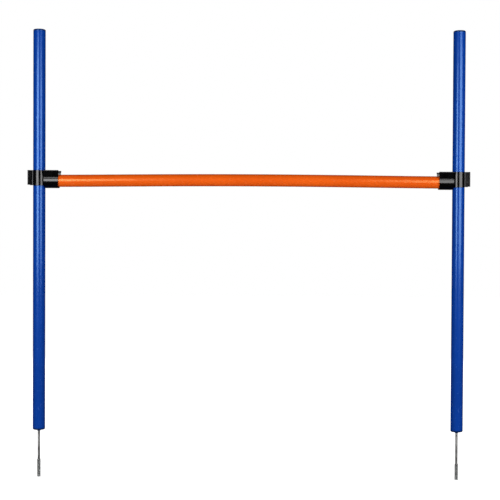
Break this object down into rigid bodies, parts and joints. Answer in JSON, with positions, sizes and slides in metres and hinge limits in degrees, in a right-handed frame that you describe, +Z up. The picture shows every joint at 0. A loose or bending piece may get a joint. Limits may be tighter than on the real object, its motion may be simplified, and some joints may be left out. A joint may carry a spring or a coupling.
{
  "type": "agility hurdle",
  "caption": "Dog agility hurdle: two posts with ground spikes and a level crossbar that rests in sliding clips.",
  "frame": {"origin": "on the ground line, where the posts' shoulders meet the ground, midway between the two posts", "axes": "+X along the crossbar from the left post to the right one, +Y away from the viewer, +Z up"},
  "size_m": [1.1264, 0.0444, 1.1494],
  "materials": {
    "post_blue": "glossy extruded tube",
    "cap_blue": "satin moulding",
    "bar_orange": "glossy extruded tube",
    "clip_black": "glossy moulding",
    "spike_steel": "drawn wire, dull zinc",
    "guard_clear": "soft clear vinyl"
  },
  "bodies": {
    "posts": {"left_post_tube": "post_blue", "right_post_tube": "post_blue", "left_post_cap": "cap_blue", "right_post_cap": "cap_blue", "left_spike_plug": "cap_blue", "right_spike_plug": "cap_blue", "left_spike": "spike_steel", "right_spike": "spike_steel"},
    "left_clip": {"left_clip": "clip_black"},
    "right_clip": {"right_clip": "clip_black"},
    "crossbar": {"crossbar_tube": "bar_orange", "left_crossbar_cap": "bar_orange", "right_crossbar_cap": "bar_orange"},
    "left_spike_guard": {"left_spike_guard": "guard_clear"},
    "right_spike_guard": {"right_spike_guard": "guard_clear"}
  },
  "joints": [
    {"name": "left_clip_height", "type": "slide", "parent": "posts", "child": "left_clip", "axis": [0, 0, 1], "range_m": [-0.6, 0.36]},
    {"name": "right_clip_height", "type": "slide", "parent": "posts", "child": "right_clip", "axis": [0, 0, 1], "range_m": [-0.6, 0.36]},
    {"name": "crossbar_lift_out", "type": "slide", "parent": "left_clip", "child": "crossbar", "axis": [0, 0, 1], "range_m": [0, 0.1]},
    {"name": "left_guard_pull_off", "type": "slide", "parent": "posts", "child": "left_spike_guard", "axis": [0, 0, -1], "range_m": [0, 0.05]},
    {"name": "right_guard_pull_off", "type": "slide", "parent": "posts", "child": "right_spike_guard", "axis": [0, 0, -1], "range_m": [0, 0.05]}
  ],
  "couplings": [
    {"joint": "right_clip_height", "follows": "left_clip_height", "ratio": 1}
  ]
}
